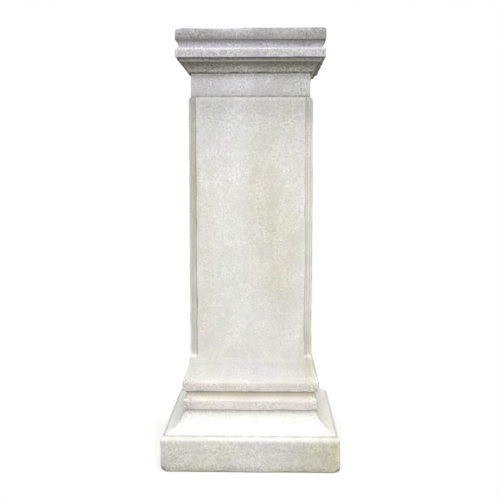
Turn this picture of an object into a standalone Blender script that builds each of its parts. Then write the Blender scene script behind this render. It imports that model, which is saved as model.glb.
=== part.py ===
"""Square column pedestal of cast stone: a plinth and moulded base, a panelled die, and a moulded cap.

It is one casting, so it is one solid. Every moulding runs round all four sides and meets itself in a mitre
at each corner. A level of the pedestal is given by two half-widths: the ground, which is the square that the
corners stand on, and the face, which is the middle of each side. They differ only on the die, where a raised
panel stands forward of a margin at each corner.

Metres, +Z up. The origin is at the middle of the underside, and the front faces -Y.
"""

import math

import bmesh
import bpy

# Shaft: the square core that the neck shows, with a raised panel on each side
SHAFT_WIDTH = 0.265
NECK_HEIGHT = 0.052
PANEL_HEIGHT = 0.5855
PANEL_PROJECTION = 0.0065
PANEL_MARGIN = 0.0115
PANEL_BEVEL = 0.0025
PANEL_SHOULDER = 0.006
MARGIN_STOP = 0.009

# Base: the flare below the panels, two bands with a scotia between them, and the hollow apron
FLARE_HEIGHT = 0.053
FLARE_SPREAD = 0.016
FLARE_HOLLOW = 0.0026
UPPER_BAND_HEIGHT = 0.0215
BASE_SCOTIA_HEIGHT = 0.0205
BASE_SCOTIA_DEPTH = 0.0065
BASE_SCOTIA_EYE = 0.0125
LOWER_BAND_HEIGHT = 0.0225
LOWER_BAND_SETBACK = 0.0025
QUIRK_HEIGHT = 0.003
QUIRK_DEPTH = 0.003
APRON_HEIGHT = 0.043
APRON_SPREAD = 0.0425
APRON_HOLLOW = 0.0065

# Plinth: a narrow flat round the apron's foot, then a slope that swells a little
PLINTH_HEIGHT = 0.080
PLINTH_FLAT = 0.0005
PLINTH_SLOPE_WIDTH = 0.0075
PLINTH_SLOPE_HEIGHT = 0.0095
PLINTH_SWELL = 0.0013
TOE_HEIGHT = 0.0015

# Cap: a hollow bell above the neck, a fillet, a fascia, a scotia and the top slab
BELL_LIP = 0.003
BELL_ROUND = 0.0025
BELL_HEIGHT = 0.0208
BELL_SPREAD = 0.0125
BELL_HOLLOW = 0.0008
FILLET_LEDGE = 0.005
FILLET_HEIGHT = 0.0087
FASCIA_PROJECTION = 0.0085
FASCIA_HEIGHT = 0.0195
CAP_SCOTIA_HEIGHT = 0.018
CAP_SCOTIA_DEPTH = 0.007
CAP_SCOTIA_EYE = 0.006
SLAB_HEIGHT = 0.0255

# Arrises are cast soft: the radius along the mouldings, at the underside, at the top and up the corners
ARRIS_RADIUS = 0.0018
UNDERSIDE_RADIUS = 0.0025
TOP_RADIUS = 0.0025
CORNER_RADIUS = 0.003

# Segments of the curved stretches
ARRIS_STEPS = 2
CORNER_STEPS = 2
CURVE_STEPS = 8
SHARP_ANGLE = 28.0

# Finish
STONE_COLOUR = (0.62, 0.60, 0.54, 1.0)
STONE_ROUGHNESS = 0.92


def arc_between(start, end, sagitta, steps):
    """Points after start, up to and with end, on the circle arc that stands sagitta off the chord.

    A positive sagitta bulges to the right of the way from start to end, a negative one to the left.
    """
    (x0, z0), (x1, z1) = start, end
    chord = math.hypot(x1 - x0, z1 - z0)
    turn = 4 * math.atan2(2 * sagitta, chord)
    points = []
    for step in range(1, steps + 1):
        part = step / steps
        # the inscribed angle gives the distance from the start and the slant off the chord
        reach = chord * math.sin(part * turn / 2) / math.sin(turn / 2)
        slant = math.atan2(z1 - z0, x1 - x0) - (1 - part) * turn / 2
        points.append((x0 + reach * math.cos(slant), z0 + reach * math.sin(slant)))
    return points


def quarter_round(start, end, steps):
    """The points of a quarter circle that bulges to the right of the way from start to end."""
    chord = math.hypot(end[0] - start[0], end[1] - start[1])
    return arc_between(start, end, chord * (math.sqrt(2) - 1) / 2, steps)


def upright_hollow(start, end, steps):
    """The points of a hollow arc that is upright at its deeper end."""
    across = abs(end[0] - start[0])
    rise = end[1] - start[1]
    lean = math.atan2(across, rise)
    return arc_between(start, end, -math.hypot(across, rise) / 2 * math.tan(lean / 2), steps)


def scotia(lip, head, eye, depth):
    """A scotia, from its lip upward to just before its head: it sweeps in to its deepest line, which lies
    higher than the lip by the eye, and out again."""
    deepest = (lip[0] - depth, lip[1] + eye)
    points = upright_hollow(lip, deepest, CURVE_STEPS // 2)
    points += upright_hollow(deepest, head, CURVE_STEPS // 2)
    return points[:-1]


class Outline:
    """An outline drawn upward, as (half-width, height) points."""

    def __init__(self):
        self.points = []

    def to(self, x, z):
        self.points.append((x, z))

    def curve(self, points):
        self.points += points

    def lower_arris(self, x, z, radius):
        """Rounds the edge between a soffit at the height z and the upright face above it at x."""
        self.to(x - radius, z)
        self.curve(quarter_round((x - radius, z), (x, z + radius), ARRIS_STEPS))

    def upper_arris(self, x, z, radius, steps):
        """Rounds the edge between the upright face at x and the level top above it at the height z."""
        self.to(x, z - radius)
        self.curve(quarter_round((x, z - radius), (x - radius, z), steps))


def base_outline():
    """From the underside to the top of the flare."""
    flare_top = SHAFT_WIDTH / 2 + PANEL_PROJECTION
    upper_band = flare_top + FLARE_SPREAD
    lower_band = upper_band - LOWER_BAND_SETBACK
    apron_head = lower_band - QUIRK_DEPTH
    apron_foot = apron_head + APRON_SPREAD
    plinth = apron_foot + PLINTH_FLAT + PLINTH_SLOPE_WIDTH

    outline = Outline()
    outline.lower_arris(plinth, 0.0, UNDERSIDE_RADIUS)
    slope_foot = (plinth, PLINTH_HEIGHT - PLINTH_SLOPE_HEIGHT)
    slope_head = (plinth - PLINTH_SLOPE_WIDTH, PLINTH_HEIGHT)
    outline.to(*slope_foot)
    outline.curve(arc_between(slope_foot, slope_head, PLINTH_SWELL, CURVE_STEPS // 2))
    outline.to(apron_foot, PLINTH_HEIGHT)
    toe = (apron_foot, PLINTH_HEIGHT + TOE_HEIGHT)
    outline.to(*toe)
    level = PLINTH_HEIGHT + TOE_HEIGHT + APRON_HEIGHT
    outline.curve(arc_between(toe, (apron_head, level), -APRON_HOLLOW, CURVE_STEPS))

    level += QUIRK_HEIGHT
    outline.to(apron_head, level)
    outline.lower_arris(lower_band, level, ARRIS_RADIUS)
    level += LOWER_BAND_HEIGHT
    outline.upper_arris(lower_band, level, ARRIS_RADIUS, ARRIS_STEPS)
    lip = (lower_band - ARRIS_RADIUS, level)
    level += BASE_SCOTIA_HEIGHT
    head = (upper_band - ARRIS_RADIUS, level)
    outline.curve(scotia(lip, head, BASE_SCOTIA_EYE, BASE_SCOTIA_DEPTH - ARRIS_RADIUS))

    outline.lower_arris(upper_band, level, ARRIS_RADIUS)
    level += UPPER_BAND_HEIGHT
    outline.to(upper_band, level)
    flare_end = (flare_top, level + FLARE_HEIGHT)
    outline.curve(arc_between((upper_band, level), flare_end, -FLARE_HOLLOW, CURVE_STEPS))
    return outline.points


def cap_outline(level):
    """From the top of the neck, at the height level, to the top of the slab."""
    shaft = SHAFT_WIDTH / 2
    bell_foot = shaft + BELL_LIP
    bell_side = bell_foot + BELL_ROUND
    bell_head = bell_side + BELL_SPREAD
    fillet = bell_head + FILLET_LEDGE
    cap = fillet + FASCIA_PROJECTION

    outline = Outline()
    outline.to(shaft, level)
    outline.to(bell_foot, level)
    side = (bell_side, level + 1.5 * BELL_ROUND)
    outline.curve(arc_between((bell_foot, level), side, BELL_ROUND / 5, ARRIS_STEPS))
    level += BELL_HEIGHT
    outline.curve(arc_between(side, (bell_head, level), -BELL_HOLLOW, CURVE_STEPS))
    outline.lower_arris(fillet, level, ARRIS_RADIUS)
    level += FILLET_HEIGHT
    outline.to(fillet, level)
    outline.lower_arris(cap, level, ARRIS_RADIUS)
    level += FASCIA_HEIGHT
    outline.upper_arris(cap, level, ARRIS_RADIUS, ARRIS_STEPS)
    lip = (cap - ARRIS_RADIUS, level)
    level += CAP_SCOTIA_HEIGHT
    head = (cap - ARRIS_RADIUS, level)
    outline.curve(scotia(lip, head, CAP_SCOTIA_EYE, CAP_SCOTIA_DEPTH - ARRIS_RADIUS))

    outline.lower_arris(cap, level, ARRIS_RADIUS)
    level += SLAB_HEIGHT
    outline.upper_arris(cap, level, TOP_RADIUS, ARRIS_STEPS)
    return outline.points


def die_levels(foot):
    """Levels of the die above the flare: the margins sink at their stops, the panels end in a shoulder."""
    shaft = SHAFT_WIDTH / 2
    face = shaft + PANEL_PROJECTION
    top = foot + PANEL_HEIGHT
    levels = [(face, shaft, foot + MARGIN_STOP)]
    for step in range(CURVE_STEPS // 2 + 1):
        angle = math.pi / 2 * step / (CURVE_STEPS // 2)
        height = top - PANEL_SHOULDER * (1 - math.sin(angle))
        levels.append((shaft + PANEL_PROJECTION * math.cos(angle), shaft, height))
    return levels


def pedestal_levels():
    """Every level of the pedestal from the ground up, as (face, ground, height)."""
    base = base_outline()
    flare_top = base[-1][1]
    neck_foot = flare_top + PANEL_HEIGHT
    cap = cap_outline(neck_foot + NECK_HEIGHT)
    levels = [(x, x, z) for x, z in base]
    levels += die_levels(flare_top)
    levels += [(x, x, z) for x, z in cap]
    return levels


def ring(face, ground, height):
    """The outline of one level: on each side the panel, the foot of its bevel, and a rounded corner."""
    panel_edge = SHAFT_WIDTH / 2 - PANEL_MARGIN
    bevel_foot = panel_edge + PANEL_BEVEL
    side = [(-panel_edge, -face), (panel_edge, -face), (bevel_foot, -ground)]
    centre = ground - CORNER_RADIUS
    for step in range(CORNER_STEPS + 1):
        angle = -math.pi / 2 * (1 - step / CORNER_STEPS)
        side.append((centre + CORNER_RADIUS * math.cos(angle), -centre + CORNER_RADIUS * math.sin(angle)))
    side.append((ground, -bevel_foot))

    points = []
    for _ in range(4):
        points += [(x, y, height) for x, y in side]
        side = [(-y, x) for x, y in side]
    return points


def stone_material():
    """Matt pale cast stone."""
    material = bpy.data.materials.new("cast_stone")
    material.use_nodes = True
    shader = material.node_tree.nodes["Principled BSDF"]
    shader.inputs["Base Color"].default_value = STONE_COLOUR
    shader.inputs["Roughness"].default_value = STONE_ROUGHNESS
    shader.inputs["Metallic"].default_value = 0.0
    return material


def make_pedestal():
    """Skins the rings into one closed body."""
    shape = bmesh.new()
    rings = [[shape.verts.new(point) for point in ring(*level)] for level in pedestal_levels()]
    count = len(rings[0])
    for lower, upper in zip(rings, rings[1:]):
        for index in range(count):
            following = (index + 1) % count
            shape.faces.new((lower[index], lower[following], upper[following], upper[index]))
    shape.faces.new(reversed(rings[0]))
    shape.faces.new(rings[-1])

    mesh = bpy.data.meshes.new("pedestal")
    shape.to_mesh(mesh)
    shape.free()
    mesh.shade_smooth()
    mesh.set_sharp_from_angle(angle=math.radians(SHARP_ANGLE))
    mesh.materials.append(stone_material())
    pedestal = bpy.data.objects.new("pedestal", mesh)
    bpy.context.scene.collection.objects.link(pedestal)


def main():
    for old in list(bpy.data.objects):
        bpy.data.objects.remove(old)
    make_pedestal()


main()
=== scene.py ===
"""A square column pedestal of weathered cast stone, dressed over its plain solid and set in a white studio.

The pedestal is one skin. Its levels run from the middle of the underside, up the mouldings, to the middle of
the top, and each level is a ring of columns round the four sides. Metres, +Z up, the front faces -Y.
"""

import math

import bpy
import numpy as np
from bpy.props import FloatProperty, FloatVectorProperty, IntProperty, PointerProperty
from bpy.types import Operator, Panel, PropertyGroup
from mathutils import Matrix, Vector


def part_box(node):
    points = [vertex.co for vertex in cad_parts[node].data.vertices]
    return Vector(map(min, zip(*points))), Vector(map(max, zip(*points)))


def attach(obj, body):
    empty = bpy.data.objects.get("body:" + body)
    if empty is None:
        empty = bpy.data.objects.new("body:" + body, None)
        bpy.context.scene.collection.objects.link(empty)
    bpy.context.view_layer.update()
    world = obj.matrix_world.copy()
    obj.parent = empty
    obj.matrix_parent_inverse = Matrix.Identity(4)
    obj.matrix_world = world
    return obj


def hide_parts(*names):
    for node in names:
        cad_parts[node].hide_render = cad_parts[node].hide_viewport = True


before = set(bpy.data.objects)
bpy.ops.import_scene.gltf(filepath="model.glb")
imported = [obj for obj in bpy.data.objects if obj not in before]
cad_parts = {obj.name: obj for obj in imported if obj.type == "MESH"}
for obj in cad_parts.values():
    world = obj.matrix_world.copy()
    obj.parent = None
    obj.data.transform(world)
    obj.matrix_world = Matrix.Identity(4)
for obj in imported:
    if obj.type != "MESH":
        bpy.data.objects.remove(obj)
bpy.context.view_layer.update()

bl_info = {
    "name": "Cast Stone Pedestal",
    "version": (1, 0, 0),
    "blender": (4, 5, 0),
    "location": "View3D > Sidebar > Pedestal",
    "description": "Builds a moulded square pedestal of weathered cast stone and its studio",
    "category": "Add Mesh",
}

CAD_LOW, CAD_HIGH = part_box("pedestal")


def length(name, description, default):
    return FloatProperty(
        name=name, description=description, default=default, min=0.0, precision=4, unit="LENGTH"
    )


def share(name, description, default):
    return FloatProperty(
        name=name, description=description, default=default, min=0.0, soft_max=1.0, subtype="FACTOR"
    )


def colour(name, description, default):
    return FloatVectorProperty(
        name=name, description=description, default=default, size=3, min=0.0, max=1.0, subtype="COLOR"
    )


def power(name, description, default):
    return FloatProperty(name=name, description=description, default=default, min=0.0, unit="POWER")


BASE_MOULDINGS = ("plinth", "toe", "apron", "quirk", "lower_band", "base_scotia", "upper_band", "flare")
CAP_MOULDINGS = ("neck", "bell", "fillet", "fascia", "cap_scotia", "slab")


class PedestalSizes(PropertyGroup):
    """Sizes of the mouldings, from the ground up. The overall width and height come from the solid."""

    width: length("Width", "Width of the plinth", CAD_HIGH[0] - CAD_LOW[0])
    height: length("Height", "Height of the whole pedestal", CAD_HIGH[2] - CAD_LOW[2])
    shaft_width: length("Shaft width", "Width of the core, as the neck shows it", 0.265)

    underside_radius: length("Underside radius", "Round of the plinth's lower edge", 0.0025)
    plinth_height: length("Plinth height", "Height of the plinth", 0.080)
    plinth_slope_height: length("Plinth slope height", "Height of the slope round the plinth's top", 0.0095)
    plinth_slope_width: length("Plinth slope width", "Width of the slope round the plinth's top", 0.0075)
    plinth_swell: length("Plinth swell", "Swelling of that slope over its chord", 0.0013)
    toe_height: length("Toe height", "Step at the foot of the apron", 0.0015)
    apron_height: length("Apron height", "Rise of the hollow apron", 0.043)
    apron_spread: length("Apron spread", "Reach of the hollow apron", 0.0425)
    apron_hollow: length("Apron hollow", "Depth of the apron's hollow below its chord", 0.0065)
    quirk_height: length("Quirk height", "Upright between the apron and the lower band", 0.003)
    quirk_depth: length("Quirk depth", "Overhang of the lower band", 0.003)
    lower_band_height: length("Lower band", "Height of the lower band", 0.0225)
    base_scotia_height: length("Base scotia", "Height of the scotia between the bands", 0.0205)
    base_scotia_depth: length("Base scotia depth", "Depth of the scotia between the bands", 0.0065)
    base_scotia_eye: length("Base scotia eye", "Rise to its deepest line", 0.0125)
    upper_band_height: length("Upper band", "Height of the upper band", 0.0215)
    lower_band_setback: length("Band setback", "How far the lower band stands behind the upper", 0.0025)
    flare_height: length("Flare height", "Height of the flare below the panels", 0.053)
    flare_spread: length("Flare spread", "Reach of the flare", 0.016)
    flare_hollow: length("Flare hollow", "Depth of the flare's hollow below its chord", 0.0026)

    margin_stop: length("Margin stop", "Height over which the corner margins sink", 0.009)
    panel_projection: length("Panel projection", "How far the panels stand forward", 0.0065)
    panel_margin: length("Panel margin", "Width left beside a panel at a corner", 0.0115)
    panel_bevel: length("Panel bevel", "Width of the panels' sloping sides", 0.0034)
    panel_shoulder: length("Panel shoulder", "Height of the round at the panels' heads", 0.006)
    neck_height: length("Neck height", "Height of the neck", 0.052)

    bell_lip: length("Bell lip", "Soffit below the bell", 0.003)
    bell_round: length("Bell round", "Round of the bell's foot", 0.0025)
    bell_height: length("Bell height", "Height of the bell above the neck", 0.0212)
    bell_spread: length("Bell spread", "Reach of the bell", 0.0125)
    bell_hollow: length("Bell hollow", "Depth of the bell's hollow below its chord", 0.0008)
    fillet_ledge: length("Fillet ledge", "Soffit between the bell and the fillet", 0.005)
    fillet_height: length("Fillet height", "Height of the fillet", 0.0085)
    fascia_projection: length("Fascia projection", "Overhang of the fascia", 0.0085)
    fascia_height: length("Fascia height", "Height of the fascia", 0.0198)
    cap_scotia_height: length("Cap scotia", "Height of the scotia below the slab", 0.0175)
    cap_scotia_depth: length("Cap scotia depth", "Depth of the scotia below the slab", 0.007)
    cap_scotia_eye: length("Cap scotia eye", "Rise to its deepest line", 0.006)
    slab_height: length("Slab height", "Height of the top slab", 0.0255)
    top_radius: length("Top radius", "Round of the slab's upper edge", 0.0025)

    arris_radius: length("Arris radius", "Round of the edges along the mouldings", 0.0018)
    corner_radius: length("Corner radius", "Round of the upright corners", 0.003)

    def levels(self):
        """The height of each moulding's top. Those of the base add up from the ground, those of the cap are
        taken off the whole height, and the panels end where the neck starts."""
        levels = {"ground": 0.0}
        level = 0.0
        for name in BASE_MOULDINGS:
            level += getattr(self, name + "_height")
            levels[name] = level
        level = self.height
        for name in reversed(CAP_MOULDINGS):
            levels[name] = level
            level -= getattr(self, name + "_height")
        levels["panels"] = level
        return levels

    def cap_half_width(self):
        """Half the width of the slab and the fascia."""
        bell = self.bell_lip + self.bell_round + self.bell_spread
        return self.shaft_width / 2 + bell + self.fillet_ledge + self.fascia_projection

    def panel_edge(self):
        """Half the width of a panel's flat face."""
        return self.shaft_width / 2 - self.panel_margin


class PedestalWear(PropertyGroup):
    """How far the cast and worn surface strays from the drawn one."""

    wave: length("Wave", "Height of the slow waves of the mould", 0.0007)
    unevenness: length("Unevenness", "Height of the lumps a thumb wide", 0.0003)
    sag: length("Sag", "How far the worn top edge rises and, mostly, sinks", 0.0013)
    arris_loss: length("Arris loss", "Deepest wear along the arrises", 0.0016)
    seed: IntProperty(name="Seed", description="Starts the random patterns", default=11, min=0)


class StoneFinish(PropertyGroup):
    """Colours of the stone by height, and of what lies on it, with painted shade in the hollows, creases,
    margins and undersides and a painted highlight on the arrises.
    """

    slab_edge: colour("Slab edge", "Weathered top and upper arris of the slab", (0.30, 0.296, 0.31))
    slab_top: colour("Slab top", "Upper part of the slab's sides", (0.36, 0.355, 0.372))
    slab_foot: colour("Slab foot", "Lower part of the slab's sides", (0.27, 0.265, 0.26))
    cap_hollow: colour("Cap hollow", "Washed lower part of the scotia below the slab", (0.555, 0.545, 0.61))
    fascia: colour("Fascia", "Fascia and the scotia above it", (0.445, 0.434, 0.457))
    # Darker partly as painted shade below the fascia
    fillet: colour("Fillet", "Head of the fillet in the shade of the fascia", (0.32, 0.307, 0.246))
    fillet_foot: colour("Fillet foot", "Damp foot of the fillet", (0.212, 0.204, 0.162))
    soffit: colour("Soffit", "Paler soffit below the fillet", (0.40, 0.385, 0.315))
    # Darker as painted shade below the fillet's ledge, along with soot
    bell_head: colour("Bell head", "Sooted head of the bell", (0.268, 0.257, 0.209))
    bell_middle: colour("Bell middle", "Middle of the bell", (0.425, 0.41, 0.352))
    bell_foot: colour("Bell foot", "Foot of the bell above the neck", (0.54, 0.522, 0.45))
    neck: colour("Neck", "Neck", (0.52, 0.516, 0.528))
    # Darker partly as painted shade under the neck's ledge, partly dirt
    panel_head: colour("Panel head", "Head of the panels", (0.485, 0.48, 0.483))
    panel_upper: colour("Panel upper part", "Upper part of the panels", (0.605, 0.605, 0.607))
    panel_middle: colour("Panel middle", "Middle of the panels", (0.695, 0.695, 0.655))
    panel_foot: colour("Panel foot", "Foot of the panels", (0.72, 0.712, 0.69))
    flare: colour("Flare", "Flare below the panels", (0.645, 0.64, 0.62))
    # A paler stop on the upper band's top arris: a painted highlight
    flare_foot_highlight: colour("Flare foot", "Washed foot of the flare", (0.73, 0.715, 0.69))
    bands: colour("Bands", "Bands of the base", (0.655, 0.63, 0.593))
    hollow_head: colour("Hollow head", "Head of the base's scotia", (0.80, 0.75, 0.61))
    hollow_eye: colour("Hollow eye", "Stained deepest line of the base's scotia", (0.69, 0.64, 0.525))
    hollow_foot: colour("Hollow foot", "Washed foot of the base's scotia", (0.76, 0.745, 0.70))
    apron_head: colour("Apron head", "Stained head of the apron", (0.60, 0.59, 0.52))
    apron: colour("Apron", "Rain-washed apron", (0.72, 0.72, 0.69))
    plinth: colour("Plinth", "Plinth", (0.666, 0.651, 0.615))
    plinth_foot: colour("Plinth foot", "Damp lower edge of the plinth", (0.526, 0.512, 0.452))
    # Also paints the shade in the hollows, the creases and on the undersides
    dirt_and_shade: colour("Dirt", "Green-grey dirt in the hollows", (0.100, 0.097, 0.076))
    stain: colour("Stain", "Ochre-green water stains", (0.50, 0.49, 0.33))
    blush: colour("Blush", "Faint warm patches", (0.72, 0.61, 0.55))
    wash: colour("Wash", "Pale streaks that rain has washed", (0.80, 0.80, 0.80))
    soot: colour("Soot", "Grey soot", (0.26, 0.25, 0.255))
    # Also paints a highlight along the arrises, over their real bleaching
    arris: colour("Arris", "Bleached arrises", (0.85, 0.84, 0.81))
    speck: colour("Speck", "Dark specks of grit", (0.24, 0.24, 0.22))
    # Paints the shade that the panels cast on the margins beside them, with a green stain
    margin: colour("Margin", "Tint of the damp margins beside the panels", (0.63, 0.63, 0.555))
    cool: colour("Cool tint", "Tint of the greenish clouds", (0.985, 1.00, 0.945))
    warm: colour("Warm tint", "Tint of the mauve clouds", (1.00, 0.982, 0.99))
    clouds: share("Clouds", "Strength of the hand-wide variation", 0.30)
    streaks: share("Streaks", "Strength of the level streaks", 0.30)
    mottle: share("Mottle", "Strength of the finger-wide variation", 0.15)
    grain: share("Grain", "Strength of the sandy grain", 0.66)
    # Also the strength of that painted highlight
    bleach_and_highlight: share("Bleach", "Strength of the bleached arrises", 0.35)
    # Strengths of the dirt and of the painted shade, in the hollows and on the undersides
    hollow_dirt_and_shade: share("Hollow dirt", "Strength of the dirt in the hollows", 0.88)
    under_shade_and_dirt: share("Underside dirt", "Strength of the dirt on the undersides", 0.44)
    wander: length("Wander", "How far the colours' level edges wander", 0.0025)


class PedestalStudio(PropertyGroup):
    """Floor, lights and camera."""

    floor: colour("Floor", "Pale floor", (0.86, 0.86, 0.86))
    key_power: power("Key power", "Overhead soft light", 51.0)
    fill_power: power("Fill power", "Soft light from the front", 54.0)
    back_power: power("Back power", "Soft lights behind", 22.0)
    focal_length: FloatProperty(
        name="Focal length", description="On a 36 mm sensor", default=55.64, unit="CAMERA"
    )


SIZES = "pedestal_sizes"
WEAR = "pedestal_wear"
FINISH = "pedestal_finish"
STUDIO = "pedestal_studio"


# Outline: the stretches of the profile

def steps(count):
    """The shares of a way after each of its even steps, from one step's share to 1."""
    return np.arange(1, count + 1) / count


def crowded(part, crowd):
    """Moves shares from 0 to 1 towards both ends: the share less a whole sine, times the crowding."""
    return part - crowd * np.sin(2 * np.pi * part) / (2 * np.pi)


def even(start, end, count, crowd=0.0):
    """Count points from start to end, without start, by steps that are even but for the crowding."""
    part = crowded(steps(count), crowd)
    return np.asarray(start) + part[:, None] * (np.asarray(end) - np.asarray(start))


def arc(start, end, sagitta, count):
    """Points after start on the circle arc whose middle stands sagitta off the chord, to the right of the way
    for a positive one: the chord turned back by the inscribed angle, times the sine of the turned part."""
    start, end = np.asarray(start), np.asarray(end)
    chord = end - start
    turn = 4 * math.atan2(2 * sagitta, math.hypot(*chord))
    part = steps(count)
    reach = np.sin(part * turn / 2) / math.sin(turn / 2)
    slant = -(1 - part) * turn / 2
    x = reach * (chord[0] * np.cos(slant) - chord[1] * np.sin(slant))
    z = reach * (chord[0] * np.sin(slant) + chord[1] * np.cos(slant))
    return start + np.stack([x, z], axis=1)


class Outline:
    """An outline drawn upward, as rows of half-width and height. Each stretch is given by its end and by the
    number of its steps."""

    ROUND_STEPS = 4
    HOLLOW_STEPS = 8
    CROWDING = 0.75

    def __init__(self, x, z):
        self.stretches = [np.array([[x, z]])]

    def end(self):
        return self.stretches[-1][-1]

    def line(self, x, z, count):
        """A straight stretch whose steps crowd towards its ends."""
        self.stretches.append(even(self.end(), (x, z), count, self.CROWDING))

    def arc(self, x, z, sagitta, count):
        """A round stretch that bulges by the sagitta to the right of the way, or to the left for a negative
        one."""
        self.stretches.append(arc(self.end(), (x, z), sagitta, count))

    def quarter(self, x, z):
        """A quarter circle that bulges to the right of the way."""
        chord = np.hypot(*(np.array([x, z]) - self.end()))
        self.arc(x, z, chord * (math.sqrt(2) - 1) / 2, self.ROUND_STEPS)

    def hollow(self, x, z):
        """A hollow arc that is upright at its deepest end: its sagitta is half the chord times the tangent of
        half the chord's lean."""
        across, up = np.array([x, z]) - self.end()
        sagitta = math.hypot(across, up) / 2 * math.tan(math.atan2(abs(across), up) / 2)
        self.arc(x, z, -sagitta, self.HOLLOW_STEPS)

    def scotia(self, depth, eye, head_x, height):
        """Sweeps in from the lip to the deepest line, at the height of the eye, and out again to its head."""
        x, z = self.end()
        self.hollow(x - depth, z + eye)
        self.hollow(head_x, z + height)

    def rows(self):
        return np.vstack(self.stretches)


def base_outline(size):
    """From the underside to the top of the flare."""
    level = size.levels()
    flare_top = size.shaft_width / 2 + size.panel_projection
    upper_band = flare_top + size.flare_spread
    lower_band = upper_band - size.lower_band_setback
    apron_head = lower_band - size.quirk_depth
    apron_foot = apron_head + size.apron_spread
    plinth = size.width / 2
    soft = size.arris_radius

    outline = Outline(plinth - size.underside_radius, level["ground"])
    outline.quarter(plinth, size.underside_radius)
    outline.line(plinth, level["plinth"] - size.plinth_slope_height, 13)
    outline.arc(plinth - size.plinth_slope_width, level["plinth"], size.plinth_swell, 7)
    outline.line(apron_foot, level["plinth"], 1)
    outline.line(apron_foot, level["toe"], 2)
    outline.arc(apron_head, level["apron"], -size.apron_hollow, 18)

    outline.line(apron_head, level["quirk"], 3)
    outline.line(lower_band - soft, level["quirk"], 2)
    outline.quarter(lower_band, level["quirk"] + soft)
    outline.line(lower_band, level["lower_band"] - soft, 6)
    outline.quarter(lower_band - soft, level["lower_band"])
    depth, head = size.base_scotia_depth - soft, upper_band - soft
    outline.scotia(depth, size.base_scotia_eye, head, size.base_scotia_height)

    outline.quarter(upper_band, level["base_scotia"] + soft)
    outline.line(upper_band, level["upper_band"] - soft, 6)
    outline.line(upper_band - soft / 4, level["upper_band"] + soft / 2, 3)
    outline.arc(flare_top, level["flare"], -size.flare_hollow, 14)
    return outline.rows()


def cap_outline(size):
    """From the foot of the neck to the top of the slab."""
    level = size.levels()
    shaft = size.shaft_width / 2
    bell_foot = shaft + size.bell_lip
    bell_side = bell_foot + size.bell_round
    bell_head = bell_side + size.bell_spread
    fillet = bell_head + size.fillet_ledge
    cap = size.cap_half_width()
    soft = size.arris_radius

    outline = Outline(shaft, level["panels"])
    outline.line(shaft, level["neck"], 14)
    outline.line(bell_foot, level["neck"], 3)
    outline.arc(bell_side, level["neck"] + 1.5 * size.bell_round, size.bell_round / 5, 5)
    outline.arc(bell_head, level["bell"], -size.bell_hollow, 10)
    outline.line(fillet - soft, level["bell"], 3)
    outline.quarter(fillet, level["bell"] + soft)
    outline.line(fillet, level["fillet"], 5)
    outline.line(cap - soft, level["fillet"], 4)
    outline.quarter(cap, level["fillet"] + soft)
    outline.line(cap, level["fascia"] - soft, 6)
    outline.quarter(cap - soft, level["fascia"])
    depth, head = size.cap_scotia_depth - soft, cap - soft
    outline.scotia(depth, size.cap_scotia_eye, head, size.cap_scotia_height)
    outline.quarter(cap, level["cap_scotia"] + soft)
    outline.line(cap, level["slab"] - size.top_radius, 8)
    outline.quarter(cap - size.top_radius, level["slab"])
    return outline.rows()


STOP_LEVELS, FACE_LEVELS, SHOULDER_LEVELS = 6, 74, 7


def fall(part):
    """Half a cosine: falls softly from 1 to 0 as the part goes from 0 to 1."""
    return 0.5 + 0.5 * np.cos(np.pi * part)


def die_rows(size):
    """Face, ground and height of the die. The ground sinks below the face by half a cosine over the margins'
    stops, and the face falls back to the ground by a quarter ellipse at the panels' heads."""
    level = size.levels()
    shaft = size.shaft_width / 2
    front = shaft + size.panel_projection
    stop = steps(STOP_LEVELS)
    stop_rows = np.stack([
        np.full(STOP_LEVELS, front),
        shaft + size.panel_projection * fall(stop),
        level["flare"] + size.margin_stop * stop,
    ], axis=1)
    shoulder = level["panels"] - size.panel_shoulder
    face = even((front, level["flare"] + size.margin_stop), (front, shoulder), FACE_LEVELS, 0.5)
    face_rows = np.stack([face[:, 0], np.full(FACE_LEVELS, shaft), face[:, 1]], axis=1)
    angle = np.pi / 2 * steps(SHOULDER_LEVELS)
    shoulder_rows = np.stack([
        shaft + size.panel_projection * np.cos(angle),
        np.full(SHOULDER_LEVELS, shaft),
        shoulder + size.panel_shoulder * np.sin(angle),
    ], axis=1)
    return np.vstack([stop_rows, face_rows, shoulder_rows])


def pedestal_rows(size):
    """Every level from the underside's edge to the top's edge, as rows of face, ground and height. Off the
    die the face is the ground, and the die's last level is the neck's first."""
    base, die, cap = base_outline(size), die_rows(size), cap_outline(size)
    square = [0, 0, 1]
    return np.vstack([base[:, square], die[:-1], cap[:, square]])


# Section: the columns of one level

PANEL_COLUMNS, BEVEL_COLUMNS, MARGIN_COLUMNS, CORNER_COLUMNS = 21, 6, 11, 3


def half_side(size):
    """Columns from the middle of a side to the diagonal, as four rows: the place along the side while it is
    fixed, the share of the way to the corner's round, the share of the panel's projection, and the angle
    round the corner. The panel's columns crowd towards its edge by half a sine, the margin's towards both its
    edges by a whole one, and the bevel falls by half a cosine."""
    edge = size.panel_edge()
    panel = np.arange(PANEL_COLUMNS) / (PANEL_COLUMNS - 1)
    panel = panel + 0.6 * np.sin(np.pi * panel) / np.pi
    bevel = steps(BEVEL_COLUMNS)
    margin = crowded(steps(MARGIN_COLUMNS), 0.8)
    inner, outer = PANEL_COLUMNS + BEVEL_COLUMNS, MARGIN_COLUMNS + CORNER_COLUMNS
    sloping = edge + size.panel_bevel * bevel
    place = np.concatenate([edge * panel, sloping, np.full(outer, sloping[-1])])
    way = np.concatenate([np.zeros(inner), margin, np.ones(CORNER_COLUMNS)])
    lift = np.concatenate([np.ones(PANEL_COLUMNS), fall(bevel), np.zeros(outer)])
    angle = np.concatenate([np.zeros(inner + MARGIN_COLUMNS), steps(CORNER_COLUMNS) * np.pi / 4])
    return place, way, lift, angle


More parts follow.
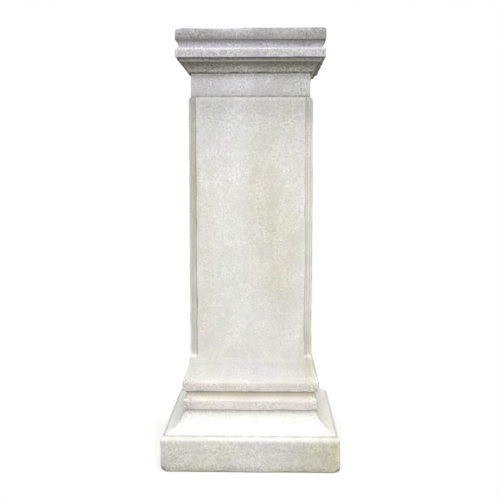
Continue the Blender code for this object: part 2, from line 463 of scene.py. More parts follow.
def along_side(size, ground):
    """How far each column stands from the middle of its side, at every level: its fixed place, its share of
    the way to the corner's round, and the round's sine."""
    place, way, _, angle = half_side(size)
    foot = size.panel_edge() + size.panel_bevel
    return place + way * (ground - size.corner_radius - foot) + size.corner_radius * np.sin(angle)


def quarter_turn(half, mirrored):
    """The columns of a quarter turn: half a side, then the other half of the next side, mirrored, without the
    diagonal that they share and without the middle that the next quarter starts with."""
    return np.concatenate([half, mirrored[..., -2:0:-1]], axis=-1)


def ring_grid(size, rows):
    """Points of all levels, as an array of level, column and coordinate.

    On half a side the point runs along x and stands off at -y: first by the fixed places, then by the share
    of the way to the corner, and last round the corner's circle. Its mirror image in the diagonal swaps and
    negates x and y, and turning the quarter by a right angle three times gives the ring.
    """
    lift, angle = half_side(size)[2:]
    face, ground, height = (rows[:, [index]] for index in range(3))
    x = along_side(size, ground)
    y = -(ground + (face - ground) * lift) + size.corner_radius * (1 - np.cos(angle))
    quarter_x = quarter_turn(x, -y)
    quarter_y = quarter_turn(y, -x)
    sides = []
    for _ in range(4):
        sides.append(np.stack([quarter_x, quarter_y], axis=2))
        quarter_x, quarter_y = -quarter_y, quarter_x
    flat = np.concatenate(sides, axis=1)
    z = np.broadcast_to(height[:, :, None], flat.shape[:2] + (1,))
    return np.concatenate([flat, z], axis=2)


END_SHARES = (0.03, 0.12, 0.25, 0.4, 0.55, 0.7, 0.82, 0.91, 0.96, 0.985)


def close_ends(grid):
    """Adds the flat underside and top: copies of the end rings drawn in to shares of their width."""
    shares = np.array(END_SHARES)
    scale = np.stack([shares, shares, np.ones_like(shares)], axis=1)[:, None, :]
    under = grid[:1] * scale
    top = grid[-1:] * scale[::-1]
    return np.concatenate([under, grid, top])


# Relief and masks

# Random values along each side of the lattice, after which it repeats
LATTICE = 32


def lattice_noise(points, cell, seed):
    """Smooth noise from -1 to 1: random values on a cubic lattice of the cell's size, blended between the
    eight nearest ones by a fifth-degree ease."""
    table = np.random.default_rng(seed).uniform(-1, 1, (LATTICE, LATTICE, LATTICE))
    scaled = points / cell
    corner = np.floor(scaled).astype(int)
    part = scaled - corner
    ease = part ** 3 * (part * (part * 6 - 15) + 10)
    total = 0.0
    for dx in (0, 1):
        for dy in (0, 1):
            for dz in (0, 1):
                weight = np.prod(np.abs(1 - np.array([dx, dy, dz]) - ease), axis=-1)
                cells = (corner + (dx, dy, dz)) % LATTICE
                total = total + weight * table[cells[..., 0], cells[..., 1], cells[..., 2]]
    return total


def normals_of(grid):
    """Outward unit normals of the grid: the cross product of its steps round and its steps up."""
    around_step = np.roll(grid, -1, axis=1) - np.roll(grid, 1, axis=1)
    up_step = np.gradient(grid, axis=0)
    normal = np.cross(around_step, up_step)
    return normal / np.maximum(np.linalg.norm(normal, axis=2, keepdims=True), 1e-12)


# How far round it a point is compared with the outline, and in how many steps
FOLD_REACH = 0.004
FOLD_STEPS = 12


def fold_of(outline):
    """How far each point of an outline stands inside (above 0) or outside (below 0) the outline's mean, which
    is weighted by a bell as wide as the reach, in parts of the reach: hollows against arrises."""
    run = np.concatenate([[0], np.cumsum(np.hypot(*np.diff(outline, axis=0).T))])
    fine = np.arange(0, run[-1], FOLD_REACH / FOLD_STEPS)
    line = np.stack([np.interp(fine, run, outline[:, axis]) for axis in (0, 1)], axis=1)
    spread = 3 * FOLD_STEPS
    weights = near(np.arange(-spread, spread + 1), 0, FOLD_STEPS)
    weights /= weights.sum()
    padded = np.pad(line, ((spread, spread), (0, 0)), mode="reflect", reflect_type="odd")
    mean = np.stack([np.convolve(padded[:, axis], weights, "valid") for axis in (0, 1)], axis=1)
    way = np.gradient(line, axis=0)
    way /= np.maximum(np.hypot(*way.T), 1e-12)[:, None]
    stand = (mean[:, 0] - line[:, 0]) * way[:, 1] - (mean[:, 1] - line[:, 1]) * way[:, 0]
    return np.interp(run, fine, stand) / FOLD_REACH


def to_ring(right, left):
    """Spreads values over the whole ring from those of a side's right half and of its left half, each from
    the middle of the side to the corner."""
    return np.concatenate([quarter_turn(right, left)] * 4, axis=-1)


def near(values, centre, width):
    """A bell of the given width round the centre."""
    return np.exp(-0.5 * ((values - centre) / width) ** 2)


def creases(size):
    """The narrow dark lines, each by its height, half-height and strength. Those at the panels' heads, along
    the neck and under the lower band are painted shade in the corners and below the overhangs, partly with
    the dirt that settles there; the two at the plinth's top are darker lines along its crease.
    """
    level = size.levels()
    return (
        (level["plinth"] - 0.0010, 0.0012, 0.20),
        (level["toe"] - 0.0013, 0.0011, 0.35),
        (level["apron"], 0.0030, 0.30),
        (level["panels"] - 0.0025, 0.0025, 0.22),
        (level["panels"] + 0.0014, 0.0013, 0.52),
        (level["panels"] + 0.0050, 0.0060, 0.20),
        (level["neck"] - 0.0040, 0.0045, 0.38),
        # A painted shadow line under the bell's lip
        (level["neck"] + 0.0012, 0.0008, 2.00),
    )


# Dirt and painted shade in the folds, where rain reaches them and where it doesn't
WASHED_FOLDS, SHELTERED_FOLDS = 0.6, 1.5


def masks(size, rows):
    """The masks of every point, from 0 to 1.

    hollow: dirt and painted shade in the folds of the profile, less where rain washes them, the dark lines of
    its creases, the apron's mitres, half as dirty on the right half of a side, and a line of painted shade at
    the right-hand foot of each panel.
    arris: the profile's outward folds, the upright corners and the panels' edges.
    pale: the same without the weathered slab, for bleaching and a painted highlight.
    margin: painted shade with a green stain in the middle of the sunk margins, left of a panel all the way
    up, right of it only below the neck.
    grit: the rough mitres of the apron and the bands, and the plinth's foot.
    """
    level = size.levels()
    face, ground, height = (rows[:, [index]] for index in range(3))
    along = along_side(size, ground)
    edge = size.panel_edge()
    foot = edge + size.panel_bevel
    standing = (face - ground) / size.panel_projection
    fold = fold_of(rows[:, [0, 2]])[:, None]
    apron = near(height, level["toe"] + 0.6 * size.apron_height, 0.4 * size.apron_height)
    bands = (height > level["apron"]) & (height < level["upper_band"] + 0.008)

    low = height < level["panels"] / 2
    below_cap = (height > level["panels"] + 0.020) & (height < level["slab"] - 0.060)
    # The folds and the creases get dirt and painted shade
    fold_shade_and_dirt = fold * np.where(low | below_cap, WASHED_FOLDS, SHELTERED_FOLDS)
    crease = sum(strength * near(height, place, width) for place, width, strength in creases(size))
    folds_and_lines = np.maximum(fold_shade_and_dirt, crease)
    mitre = 0.35 * apron * near(along, ground, 0.006)
    # Painted shade in the corner at the right-hand foot of each panel
    corner_shade_line = 0.28 * standing * near(along, foot + 0.0022, 0.0015)
    hollow_left = np.maximum(folds_and_lines, mitre)
    hollow_right = np.maximum(np.maximum(folds_and_lines, 0.5 * mitre), corner_shade_line)

    corner = near(along, ground, 0.003)
    arris = np.maximum(np.maximum(-3.0 * fold, corner), standing * near(along, edge, 0.0015))
    # Paled arrises, for bleaching and a painted highlight
    pale = np.where(height > level["cap_scotia"] - 0.004, 0.0, arris)
    # Painted shade with a green stain in the margins, as if the panels were lit from the right
    margin_shade_and_stain = 0.82 + 0.5 * near(height, level["panels"] - 0.1305, 0.12)
    margin_left = standing * near(along, (foot + ground) / 2, 0.004) * margin_shade_and_stain
    margin_right = margin_left * 0.5 * near(height, level["panels"], 0.03)
    grit = np.maximum(apron, 0.8 * bands) * near(along, ground, 0.014) + 0.5 * near(height, 0.008, 0.010)

    halves = {
        "hollow": (hollow_right, hollow_left),
        "arris": (arris, arris),
        "pale": (pale, pale),
        "margin": (margin_right, margin_left),
        "grit": (grit, grit),
    }
    ends = ((len(END_SHARES), len(END_SHARES)), (0, 0))
    return {name: np.pad(np.clip(to_ring(*pair), 0, 1), ends) for name, pair in halves.items()}


def soft_patches(points, normals, patches):
    """The sum of soft upright ellipses on one side, each given by its place across, its height, its
    half-width, its half-height and its strength."""
    facing = np.clip(-normals[..., 1] * 2, 0, 1)
    total = np.zeros(points.shape[:-1])
    for across, height, half_width, half_height, strength in patches:
        bell = near(points[..., 0], across, half_width) * near(points[..., 2], height, half_height)
        total += strength * bell
    return total * facing


# The front's own patches by kind: place across, height, half-width and half-height in metres, and strength
FRONT_PATCHES = {
    "stain": (
        (0.022, 0.608, 0.036, 0.084, 0.52),
        (0.074, 0.785, 0.034, 0.038, 0.34),
        # A narrow line of painted shade in the corner at the right panel's foot
        (0.1262, 0.560, 0.0014, 0.190, 0.60),
        (0.072, 0.541, 0.030, 0.060, 0.20),
        (0.062, 0.398, 0.036, 0.066, 0.34),
        # This one and the one at -0.128 further down are a green stain and painted shade in the left margin
        (-0.128, 0.590, 0.007, 0.075, 0.55),
        (-0.105, 0.520, 0.018, 0.100, 0.16),
        (-0.112, 0.330, 0.020, 0.050, 0.14),
        (-0.128, 0.690, 0.008, 0.055, 0.60),
        (0.127, 0.278, 0.008, 0.035, 0.65),
        (0.137, 0.218, 0.022, 0.030, 0.50),
        (0.168, 0.036, 0.045, 0.034, 0.80),
        (0.190, 0.060, 0.024, 0.014, 0.32),
        (-0.150, 0.035, 0.040, 0.030, 0.30),
    ),
    "blush": (
        (0.045, 0.640, 0.018, 0.020, 0.30),
        (0.092, 0.500, 0.016, 0.025, 0.35),
        (0.055, 0.430, 0.024, 0.024, 0.40),
        (-0.112, 0.600, 0.010, 0.025, 0.35),
        (-0.108, 0.310, 0.014, 0.020, 0.35),
        (0.110, 0.315, 0.012, 0.018, 0.30),
        (-0.060, 0.182, 0.100, 0.012, 0.35),
    ),
    "wash": (
        (-0.032, 0.700, 0.016, 0.110, 0.45),
        (-0.040, 0.970, 0.030, 0.008, 0.45),
        (-0.020, 0.440, 0.022, 0.100, 0.40),
        (-0.070, 0.470, 0.014, 0.120, 0.25),
        (0.020, 0.330, 0.030, 0.045, 0.35),
        (-0.020, 0.870, 0.035, 0.020, 0.45),
        (0.085, 0.965, 0.030, 0.012, 0.20),
        (0.112, 0.921, 0.028, 0.006, 0.28),
        (0.106, 0.340, 0.010, 0.030, 0.30),
        (0.000, 0.096, 0.130, 0.013, 1.00),
    ),
    "soot": (
        # These first two lie in the cap's scotia and just under the bell, and are partly painted shade
        (0.118, 0.9425, 0.045, 0.007, 0.62),
        (-0.080, 0.8785, 0.045, 0.004, 0.42),
        (-0.152, 0.180, 0.016, 0.014, 0.26),
        (-0.148, 0.139, 0.014, 0.011, 0.22),
        (-0.190, 0.020, 0.016, 0.022, 0.26),
        (-0.137, 0.725, 0.004, 0.050, 0.30),
    ),
}

# How strong the random patches of each kind are at most on the other sides
RANDOM_STRENGTH = {"stain": 0.5, "blush": 0.4, "wash": 0.5, "soot": 0.15}

# What shows of the flanks beside the apron and the plinth's shoulder: side 1 is the right one, 3 the left
FLANK_PATCHES = {
    ("stain", 1): ((-0.140, 0.125, 0.080, 0.030, 0.50), (0.060, 0.115, 0.110, 0.030, 0.34)),
    ("soot", 3): ((0.140, 0.125, 0.080, 0.030, 0.22), (-0.060, 0.115, 0.110, 0.030, 0.16)),
}


def random_patches(seed, count, strength):
    """Patches of like sizes for the sides that the view doesn't show."""
    source = np.random.default_rng(seed)
    low = (-0.09, 0.27, 0.018, 0.03, 0.4 * strength)
    high = (0.09, 0.80, 0.042, 0.14, strength)
    return [tuple(row) for row in source.uniform(low, high, (count, 5))]


def patches_all_round(points, normals, kind, seed):
    """The front's own patches, and on the three other sides random ones and what shows of the flanks. Each
    side is turned to the front for them."""
    front = FRONT_PATCHES[kind]
    total = soft_patches(points, normals, front)
    turned_points, turned_normals = points, normals
    for side in range(1, 4):
        turned_points = turned_points[..., [1, 0, 2]] * (1, -1, 1)
        turned_normals = turned_normals[..., [1, 0, 2]] * (1, -1, 1)
        patches = random_patches(seed + side, len(front), RANDOM_STRENGTH[kind])
        patches.extend(FLANK_PATCHES.get((kind, side), ()))
        total = total + soft_patches(turned_points, turned_normals, patches)
    return np.clip(total, 0, 1)


def bite(points, centre, inward, radius, depth):
    """Moves the points near a centre inward: the depth times a smooth dome of the radius."""
    distance = np.linalg.norm(points - np.asarray(centre), axis=-1) / radius
    dome = np.clip(1 - distance ** 2, 0, 1) ** 2
    direction = np.asarray(inward) / np.linalg.norm(inward)
    return points + depth * dome[..., None] * direction


def chips(size):
    """The chips off the corners, each by its centre, its way inward, its radius and its depth."""
    cap, foot = size.cap_half_width(), size.width / 2
    return (
        ((-cap, -cap, size.height), (1, 1, -1), 0.016, 0.0075),
        ((-foot, -foot, 0.0), (1, 1, 1), 0.016, 0.006),
        ((foot, -foot, 0.0), (-1, 1, 1), 0.014, 0.005),
    )


# The sizes of the waves, the lumps, the dents and the sunken places
WAVE_CELL, LUMP_CELL, DENT_CELL, SAG_CELL = 0.11, 0.022, 0.017, 0.075


def weather(size, wear, grid, arris):
    """Moves the points along their normals by the mould's slow waves, by lumps a thumb wide and by the wear
    of the arrises, a quarter of it everywhere and the rest in dents. Then lets the slab's upper half rise a
    little and mostly sink, and chips three corners. The plinth's foot stays on the ground."""
    normals = normals_of(grid)
    slow = lattice_noise(grid, WAVE_CELL, wear.seed) * wear.wave
    lumps = lattice_noise(grid, LUMP_CELL, wear.seed + 1) * wear.unevenness
    dents = np.clip(lattice_noise(grid, DENT_CELL, wear.seed + 2) + 0.15, 0, 1)
    loss = arris * wear.arris_loss * (0.25 + dents)
    moved = grid + normals * (slow + lumps - loss)[..., None]
    moved[..., 2] = np.where(grid[..., 2] <= 0, 0.0, np.maximum(moved[..., 2], 0.0))
    upper_slab = np.clip((grid[..., 2] - size.height) / (0.5 * size.slab_height) + 1, 0, 1)
    sunk = 0.6 - lattice_noise(grid * (1, 1, 0), SAG_CELL, wear.seed + 3)
    moved[..., 2] -= upper_slab * sunk * wear.sag
    for centre, inward, radius, depth in chips(size):
        moved = bite(moved, centre, inward, radius, depth)
    return moved, normals


class Skin:
    """The pedestal's grid of points with its masks, and the mesh made of them. Undersides carry dirt and
    painted shade on the front and the back only, and the flanks' margins carry less painted shade and their
    aprons are rougher."""

    def __init__(self, size, wear):
        rows = pedestal_rows(size)
        plain = close_ends(ring_grid(size, rows))
        self.masks = masks(size, rows)
        self.points, normals = weather(size, wear, plain, self.masks.pop("arris"))
        x, y, z = (plain[..., axis] for axis in range(3))
        flank = np.abs(x) > np.abs(y)
        apron = near(z, size.levels()["toe"] + size.apron_height / 2, 0.02)
        self.masks["margin"] *= np.where(flank, 0.3, 1.0)
        self.masks["grit"] = np.maximum(self.masks["grit"], 0.32 * flank * apron)
        # Dirt and painted shade on the downward faces, left off the flanks
        self.masks["under"] = np.where(flank, 0.0, np.clip(-normals[..., 2], 0, 1))
        for order, kind in enumerate(FRONT_PATCHES):
            self.masks[kind] = patches_all_round(plain, normals, kind, wear.seed + 20 * order)

    def mesh(self, name):
        """Quads between neighbouring rings and columns, and a fan of triangles round each pole."""
        levels, columns = self.points.shape[:2]
        index = np.arange(levels * columns).reshape(levels, columns)
        after = np.roll(index, -1, axis=1)
        quads = np.stack([index[:-1], after[:-1], after[1:], index[1:]], axis=2).reshape(-1, 4)
        poles = np.array([self.points[0].mean(axis=0), self.points[-1].mean(axis=0)])
        points = np.vstack([self.points.reshape(-1, 3), poles])
        bottom, top = levels * columns, levels * columns + 1
        low = np.stack([after[0], index[0], np.full(columns, bottom)], axis=1)
        high = np.stack([index[-1], after[-1], np.full(columns, top)], axis=1)
        mesh = bpy.data.meshes.new(name)
        mesh.from_pydata(points.tolist(), [], quads.tolist() + low.tolist() + high.tolist())
        for kind, values in self.masks.items():
            attribute = mesh.attributes.new(kind, "FLOAT", "POINT")
            attribute.data.foreach_set("value", np.append(values, [0.0, 0.0]).astype(np.float32))
        mesh.shade_smooth()
        mesh.update()
        return mesh


# Finish

class NodeTree:
    """Short hands for a material's nodes."""

    def __init__(self, tree):
        self.tree = tree

    def node(self, kind, **settings):
        made = self.tree.nodes.new(kind)
        for name, value in settings.items():
            setattr(made, name, value)
        return made

    def feed(self, socket, value):
        """Links an output to the socket, or sets the socket's own value."""
        if isinstance(value, bpy.types.NodeSocket):
            self.tree.links.new(value, socket)
        else:
            socket.default_value = value

    def maths(self, operation, first, second):
        made = self.node("ShaderNodeMath", operation=operation)
        self.feed(made.inputs[0], first)
        self.feed(made.inputs[1], second)
        return made.outputs[0]

    def mix(self, amount, first, second, blend="MIX"):
        """The second colour over the first. A mix node's colour sockets go by number, because its plain ones
        have the same names."""
        made = self.node("ShaderNodeMix", data_type="RGBA", blend_type=blend)
        self.feed(made.inputs["Factor"], amount)
        self.feed(made.inputs[6], first)
        self.feed(made.inputs[7], second)
        return made.outputs[2]

    def mask(self, name):
        return self.node("ShaderNodeAttribute", attribute_name=name).outputs["Fac"]

    def patchy(self, name, noise, low, high, least):
        """A mask, down to the least share of it where the noise is low."""
        return self.maths("MULTIPLY", self.mask(name), self.range(noise, low, high, least, 1.0))

    def noise(self, place, size, detail, roughness, stretch=None):
        """Noise whose lumps are about the size across, in metres, from 0 to 1."""
        if stretch is not None:
            mapping = self.node("ShaderNodeMapping")
            self.feed(mapping.inputs["Vector"], place)
            mapping.inputs["Scale"].default_value = stretch
            place = mapping.outputs["Vector"]
        made = self.node("ShaderNodeTexNoise")
        self.feed(made.inputs["Vector"], place)
        made.inputs["Scale"].default_value = 1 / size
        made.inputs["Detail"].default_value = detail
        made.inputs["Roughness"].default_value = roughness
        return made.outputs["Fac"]

    def swing(self, noise, amount):
        """The noise's swing about its mean, times the amount."""
        return self.maths("MULTIPLY", self.maths("SUBTRACT", noise, 0.5), amount)

    def range(self, value, low, high, to_low=0.0, to_high=1.0):
        made = self.node("ShaderNodeMapRange", interpolation_type="SMOOTHSTEP")
        self.feed(made.inputs["Value"], value)
        for name, number in (("From Min", low), ("From Max", high), ("To Min", to_low), ("To Max", to_high)):
            made.inputs[name].default_value = number
        return made.outputs["Result"]


def new_material(name):
    """A material with its node tree and its shader."""
    material = bpy.data.materials.new(name)
    material.use_nodes = True
    return material, NodeTree(material.node_tree), material.node_tree.nodes["Principled BSDF"]


def solid(rgb):
    return (*rgb, 1.0)


# As many as one colour ramp holds
MOST_STOPS = 32


def by_height(tree, z, size, stops):
    """A colour that runs evenly between the stops, each a height and a colour. What one ramp can't hold goes
    on from its last stop in a second one."""
    if len(stops) > MOST_STOPS:
        upper = stops[MOST_STOPS - 1:]
        over = tree.maths("GREATER_THAN", z, upper[0][0])
        return tree.mix(over, by_height(tree, z, size, stops[:MOST_STOPS]), by_height(tree, z, size, upper))
    ramp = tree.node("ShaderNodeValToRGB")
    tree.feed(ramp.inputs["Fac"], tree.maths("DIVIDE", z, size.height))
    elements = ramp.color_ramp.elements
    while len(elements) < len(stops):
        elements.new(0.5)
    for element, (height, value) in zip(elements, stops):
        element.position = height / size.height
        element.color = solid(value)
    return ramp.outputs["Color"]


# The colour from the ground up: darker at the foot, pale on the apron, grey and sooted towards the cap. It
# also paints light and shade: the lower part is lighter as painted bounce light from the floor, the fillet,
# the bell's head and the panels' heads are darker as painted shade below the overhangs, along with their
# dirt and soot, and the foot of the flare is paler as a painted highlight on the upper band's arris. Each
# band of one colour runs between two heights above the top of the moulding named, and blends into the next.
STONE_BANDS = (
    ("ground", 0.0000, 0.0050, "plinth_foot"),
    ("ground", 0.0180, 0.0690, "plinth"),
    ("plinth", -0.0060, 0.0320, "apron"),
    ("apron", -0.0005, -0.0005, "apron_head"),
    ("quirk", 0.0005, 0.0225, "bands"),
    ("lower_band", 0.0030, 0.0055, "hollow_foot"),
    ("lower_band", 0.0100, 0.0120, "hollow_eye"),
    ("base_scotia", -0.0035, -0.0005, "hollow_head"),
    ("base_scotia", 0.0010, 0.0175, "bands"),
    ("upper_band", -0.0020, -0.0020, "flare_foot_highlight"),
    ("upper_band", 0.0160, 0.0400, "flare"),
    ("flare", -0.0020, 0.0550, "panel_foot"),
    ("flare", 0.1550, 0.3950, "panel_middle"),
    ("panels", -0.0705, -0.0705, "panel_upper"),
    ("panels", -0.0085, -0.0085, "panel_head"),
    ("panels", 0.0015, 0.0495, "neck"),
    ("neck", 0.0015, 0.0060, "bell_foot"),
    ("neck", 0.0105, 0.0105, "bell_middle"),
    ("bell", -0.0017, -0.0017, "bell_head"),
    ("bell", -0.0007, 0.0005, "soffit"),
    ("bell", 0.0011, 0.0023, "fillet_foot"),
    ("bell", 0.0048, 0.0083, "fillet"),
    ("fillet", 0.0008, 0.0178, "fascia"),
    ("fascia", 0.0000, 0.0060, "cap_hollow"),
    ("fascia", 0.0110, 0.0160, "fascia"),
    ("cap_scotia", 0.0015, 0.0015, "slab_foot"),
    ("slab", -0.0030, -0.0030, "slab_top"),
    ("slab", 0.0000, 0.0000, "slab_edge"),
)

# In the same way, the strength of the grain, of the level streaks and of the clouds
SURFACE_BANDS = (
    ("ground", 0.000, 0.000, (0.38, 0.60, 1.00)),
    ("plinth", -0.012, -0.012, (0.34, 0.60, 1.00)),
    ("plinth", -0.007, 0.038, (0.20, 0.10, 0.20)),
    ("quirk", 0.0005, 0.0225, (0.28, 1.00, 0.60)),
    ("lower_band", 0.002, 0.018, (0.10, 1.00, 0.60)),
    ("base_scotia", 0.0015, 0.0175, (0.44, 1.00, 0.80)),
    ("upper_band", 0.000, 0.000, (0.16, 0.80, 1.00)),
    ("flare", 0.015, 0.015, (0.18, 0.00, 1.00)),
    ("flare", 0.255, 0.255, (0.24, 0.00, 0.80)),
    ("panels", -0.0905, -0.0905, (0.28, 0.00, 0.80)),
    ("panels", -0.0305, -0.0305, (0.38, 0.00, 0.80)),
    ("panels", 0.0095, 0.0095, (0.44, 0.20, 0.80)),
    ("neck", -0.0025, -0.0025, (0.50, 0.30, 0.80)),
    ("neck", 0.0015, 0.0275, (0.90, 0.80, 0.80)),
    ("fillet", 0.0018, 0.0018, (0.62, 0.60, 0.80)),
)


def stops_of(size, bands):
    """The bands' ends as heights above the ground, each with its band's value, once where both are one."""
    level = size.levels()
    return [
        (level[name] + above, value)
        for name, low, high, value in bands
        for above in sorted({low, high})
    ]


GRIT_CELL = 0.0075
BUMP_DEPTH = 0.0012


def sand_grit(tree, place):
    """Grit scattered through the stone. Gives the middles of all the cells of a random pattern, for the pits,
    and those of some of them, for the dark specks."""
    grit = tree.node("ShaderNodeTexVoronoi")
    tree.feed(grit.inputs["Vector"], place)
    grit.inputs["Scale"].default_value = 1 / GRIT_CELL
    middles = tree.range(grit.outputs["Distance"], 0.10, 0.24, 1.0, 0.0)
    chance = tree.node("ShaderNodeSeparateColor")
    tree.feed(chance.inputs[0], grit.outputs["Color"])
    return middles, tree.maths("MULTIPLY", middles, tree.range(chance.outputs[0], 0.55, 0.75))


def stone_material(size, finish):
    """Matt sandy cast stone: the height's colour with its painted light and shade, its patches, clouds and
    grain over it, painted shade with a stain on the margins, specks, arrises paled for bleaching and a
    painted highlight, and dirt with painted shade in the hollows and below. The grain and the pits are also
    bump."""
    material, tree, shader = new_material("weathered_cast_stone")
    place = tree.node("ShaderNodeTexCoord").outputs["Object"]
    split = tree.node("ShaderNodeSeparateXYZ")
    tree.feed(split.inputs[0], place)
    z = split.outputs["Z"]

    # The patterns, each with the size of its lumps, its detail and its roughness
    clouds = tree.noise(place, 0.045, 3.0, 0.55)
    mottles = tree.noise(place, 0.011, 3.0, 0.6)
    runs = tree.noise(place, 0.020, 3.0, 0.5, stretch=(1.0, 1.0, 0.18))
    streaks = tree.noise(place, 0.012, 2.0, 0.5, stretch=(0.2, 0.2, 1.0))
    tints = tree.noise(place, 0.055, 1.0, 0.5)
    grain = tree.noise(place, 0.0036, 2.0, 0.7)

    wandering = tree.maths("ADD", z, tree.swing(mottles, finish.wander))
    # The colour by height, with its painted bounce light, shade and highlight
    bands = [(height, getattr(finish, name)) for height, name in stops_of(size, STONE_BANDS)]
    stone = by_height(tree, wandering, size, bands)
    surface = tree.node("ShaderNodeSeparateColor")
    tree.feed(surface.inputs[0], by_height(tree, z, size, stops_of(size, SURFACE_BANDS)))
    rough, streaky, cloudy = surface.outputs
    rough = tree.maths("MULTIPLY", rough, tree.range(clouds, 0.35, 0.65, 0.65, 1.35))
    rough = tree.maths("MAXIMUM", rough, tree.mask("grit"))
    tint = tree.mix(tree.range(tints, 0.38, 0.62), solid(finish.cool), solid(finish.warm))
    stone = tree.mix(cloudy, stone, tree.mix(1.0, stone, tint, "MULTIPLY"))
    stone = tree.mix(tree.patchy("stain", runs, 0.25, 0.7, 0.35), stone, solid(finish.stain))
    stone = tree.mix(tree.patchy("blush", mottles, 0.3, 0.7, 0.2), stone, solid(finish.blush))
    stone = tree.mix(tree.patchy("wash", runs, 0.3, 0.7, 0.4), stone, solid(finish.wash))
    stone = tree.mix(tree.patchy("soot", mottles, 0.3, 0.65, 0.4), stone, solid(finish.soot))

    tone = tree.maths("ADD", tree.swing(mottles, finish.mottle * 4), tree.swing(grain, finish.grain * 4))
    tone = tree.maths("MULTIPLY", tone, rough)
    broad = tree.maths("MULTIPLY", tree.swing(clouds, finish.clouds), cloudy)
    level = tree.maths("MULTIPLY", tree.swing(streaks, finish.streaks), streaky)
    tone = tree.maths("ADD", tone, tree.maths("ADD", broad, level))
    stone = tree.mix(1.0, stone, tree.maths("ADD", tone, 1.0), "MULTIPLY")
    # Painted shade with a green stain on the margins beside the panels
    margin_shade_and_stain = tree.mix(1.0, stone, solid(finish.margin), "MULTIPLY")
    stone = tree.mix(tree.patchy("margin", runs, 0.3, 0.7, 0.75), stone, margin_shade_and_stain)

    grit, specks = sand_grit(tree, place)
    stone = tree.mix(tree.maths("MULTIPLY", specks, rough), stone, solid(finish.speck))
    # Paler arrises: bleaching and a painted highlight
    pale = tree.maths("MULTIPLY", tree.mask("pale"), finish.bleach_and_highlight)
    stone = tree.mix(pale, stone, solid(finish.arris))
    # Dirt and painted shade in the hollows, the creases and on the undersides
    hollow = tree.maths("MULTIPLY", tree.patchy("hollow", mottles, 0.35, 0.62, 0.45), finish.hollow_dirt_and_shade)
    under = tree.maths("MULTIPLY", tree.mask("under"), finish.under_shade_and_dirt)
    stone = tree.mix(tree.maths("MAXIMUM", hollow, under), stone, solid(finish.dirt_and_shade))
    tree.feed(shader.inputs["Base Color"], stone)
    shader.inputs["Roughness"].default_value = 0.92
    shader.inputs["Specular IOR Level"].default_value = 0.25

    relief = tree.maths("ADD", tree.maths("MULTIPLY", grain, 0.8), tree.maths("MULTIPLY", mottles, 1.2))
    relief = tree.maths("SUBTRACT", relief, tree.maths("MULTIPLY", grit, 0.5))
    relief = tree.maths("MULTIPLY", relief, rough)
    bump = tree.node("ShaderNodeBump")
    tree.feed(bump.inputs["Height"], relief)
    bump.inputs["Strength"].default_value = 1.0
    bump.inputs["Distance"].default_value = BUMP_DEPTH
    tree.feed(shader.inputs["Normal"], bump.outputs["Normal"])
    return material


class PEDESTAL_OT_cast_body(Operator):
    """Casts the pedestal's body: plinth, base, panelled die, neck and cap in one skin"""

    bl_idname = "pedestal.cast_body"
    bl_label = "Cast Body"

    def execute(self, context):
        scene = context.scene
        size, wear = getattr(scene, SIZES), getattr(scene, WEAR)
        mesh = Skin(size, wear).mesh("pedestal_stone")
        mesh.materials.append(stone_material(size, getattr(scene, FINISH)))
        body = bpy.data.objects.new("pedestal_stone", mesh)
        scene.collection.objects.link(body)
        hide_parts("pedestal")
        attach(body, "root")
        return {"FINISHED"}


# Studio

CAMERA_PLACE = (0.0368, -1.864, 0.6556)
CAMERA_DOWN = math.radians(5.43)
CAMERA_LEFT = math.radians(1.27)

# The soft lights: name, the property with its power, size, place, and the height on the axis that it aims at
LIGHTS = (
    ("key", "key_power", 2.4, (0.15, -1.7, 3.2), 0.40),
    ("fill", "fill_power", 2.0, (0.35, -3.2, 1.3), 0.45),
    ("back_left", "back_power", 1.8, (-2.4, 1.5, 1.9), 0.40),
    ("back_right", "back_power", 1.8, (2.4, 1.5, 1.9), 0.40),
)

FLOOR_RADIUS = 9.0
FLOOR_RINGS, FLOOR_COLUMNS = 12, 64


def floor_mesh():
    """A round floor on the ground: rings about the origin at even steps of the radius."""
    reach = FLOOR_RADIUS * steps(FLOOR_RINGS)[:, None]
    angle = 2 * np.pi * np.arange(FLOOR_COLUMNS) / FLOOR_COLUMNS
    flat = np.zeros((FLOOR_RINGS, FLOOR_COLUMNS))
    ring = np.stack([reach * np.cos(angle), reach * np.sin(angle), flat], axis=2)
    index = np.arange(flat.size).reshape(flat.shape)
    after = np.roll(index, -1, axis=1)
    quads = np.stack([index[:-1], index[1:], after[1:], after[:-1]], axis=2).reshape(-1, 4)
    mesh = bpy.data.meshes.new("floor")
    mesh.from_pydata(ring.reshape(-1, 3).tolist(), [], quads.tolist() + [index[0].tolist()])
    return mesh


def floor_material(studio):
    """A matt pale floor that turns into the plain white of the surround away from the pedestal."""
    material, tree, shader = new_material("pale_floor")
    shader.inputs["Base Color"].default_value = solid(studio.floor)
    shader.inputs["Roughness"].default_value = 1.0
    shader.inputs["Specular IOR Level"].default_value = 0.0
    glow = tree.node("ShaderNodeEmission")
    glow.inputs["Strength"].default_value = 1.0
    away = tree.node("ShaderNodeVectorMath", operation="LENGTH")
    tree.feed(away.inputs[0], tree.node("ShaderNodeTexCoord").outputs["Object"])
    blend = tree.node("ShaderNodeMixShader")
    tree.feed(blend.inputs["Fac"], tree.range(away.outputs["Value"], 0.16, 0.44))
    tree.feed(blend.inputs[1], shader.outputs["BSDF"])
    tree.feed(blend.inputs[2], glow.outputs["Emission"])
    tree.feed(material.node_tree.nodes["Material Output"].inputs["Surface"], blend.outputs["Shader"])
    return material


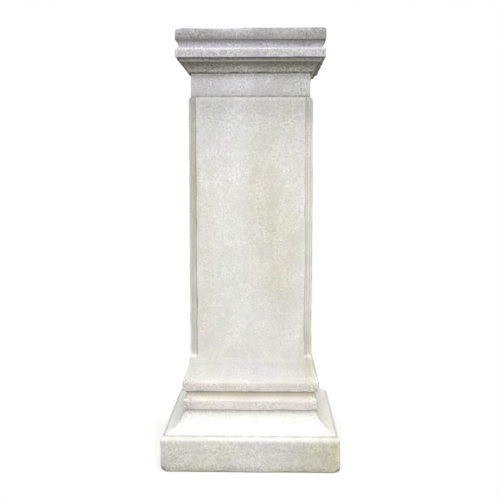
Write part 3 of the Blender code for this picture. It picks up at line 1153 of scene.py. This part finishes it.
def area_light(scene, name, energy, size, place, aim_height):
    """A square soft light at its place, turned to its aim on the pedestal's axis."""
    data = bpy.data.lights.new(name, "AREA")
    data.energy = energy
    data.shape = "SQUARE"
    data.size = size
    light = bpy.data.objects.new(name, data)
    light.location = place
    way = Vector((0.0, 0.0, aim_height)) - Vector(place)
    light.rotation_euler = way.to_track_quat("-Z", "Y").to_euler()
    scene.collection.objects.link(light)


def studio_world(scene):
    """A white surround, brighter overhead for what it lights and plain white where it shows."""
    world = bpy.data.worlds.new("studio")
    world.use_nodes = True
    tree = NodeTree(world.node_tree)
    background = world.node_tree.nodes["Background"]
    split = tree.node("ShaderNodeSeparateXYZ")
    tree.feed(split.inputs[0], tree.node("ShaderNodeTexCoord").outputs["Generated"])
    glow = tree.range(split.outputs["Z"], -0.2, 0.9, 0.18, 0.95)
    seen = tree.node("ShaderNodeLightPath").outputs["Is Camera Ray"]
    background.inputs["Color"].default_value = (1.0, 1.0, 1.0, 1.0)
    tree.feed(background.inputs["Strength"], tree.maths("MAXIMUM", seen, glow))
    scene.world = world


class PEDESTAL_OT_set_studio(Operator):
    """Sets the pale floor, the soft lights, the white surround and the camera"""

    bl_idname = "pedestal.set_studio"
    bl_label = "Set Studio"

    def execute(self, context):
        scene = context.scene
        studio = getattr(scene, STUDIO)
        floor = bpy.data.objects.new("floor", floor_mesh())
        floor.data.materials.append(floor_material(studio))
        scene.collection.objects.link(floor)
        # The surround already lights the undersides as a pale floor would
        floor.visible_diffuse = False

        for name, strength, size, place, aim_height in LIGHTS:
            area_light(scene, name, getattr(studio, strength), size, place, aim_height)
        studio_world(scene)
        scene.view_settings.view_transform = "Standard"

        data = bpy.data.cameras.new("camera")
        data.lens = studio.focal_length
        camera = bpy.data.objects.new("camera", data)
        camera.location = CAMERA_PLACE
        camera.rotation_euler = (math.pi / 2 - CAMERA_DOWN, 0.0, CAMERA_LEFT)
        scene.collection.objects.link(camera)
        scene.camera = camera
        return {"FINISHED"}


class PEDESTAL_PT_sidebar(Panel):
    """Sizes, wear, finish and studio of the pedestal"""

    bl_label = "Cast Stone Pedestal"
    bl_idname = "PEDESTAL_PT_sidebar"
    bl_space_type = "VIEW_3D"
    bl_region_type = "UI"
    bl_category = "Pedestal"

    def draw(self, context):
        layout = self.layout
        for group_name in (SIZES, WEAR, FINISH, STUDIO):
            group = getattr(context.scene, group_name)
            box = layout.box()
            for name in group.bl_rna.properties.keys():
                if name not in ("rna_type", "name"):
                    box.prop(group, name)
        layout.operator(PEDESTAL_OT_cast_body.bl_idname)
        layout.operator(PEDESTAL_OT_set_studio.bl_idname)


GROUPS = {SIZES: PedestalSizes, WEAR: PedestalWear, FINISH: StoneFinish, STUDIO: PedestalStudio}
CLASSES = (*GROUPS.values(), PEDESTAL_OT_cast_body, PEDESTAL_OT_set_studio, PEDESTAL_PT_sidebar)


def register():
    for made in CLASSES:
        bpy.utils.register_class(made)
    for name, group in GROUPS.items():
        setattr(bpy.types.Scene, name, PointerProperty(type=group))


def unregister():
    for name in GROUPS:
        delattr(bpy.types.Scene, name)
    for made in reversed(CLASSES):
        bpy.utils.unregister_class(made)


def main():
    register()
    bpy.ops.pedestal.cast_body()
    bpy.ops.pedestal.set_studio()


if __name__ == "__main__":
    main()
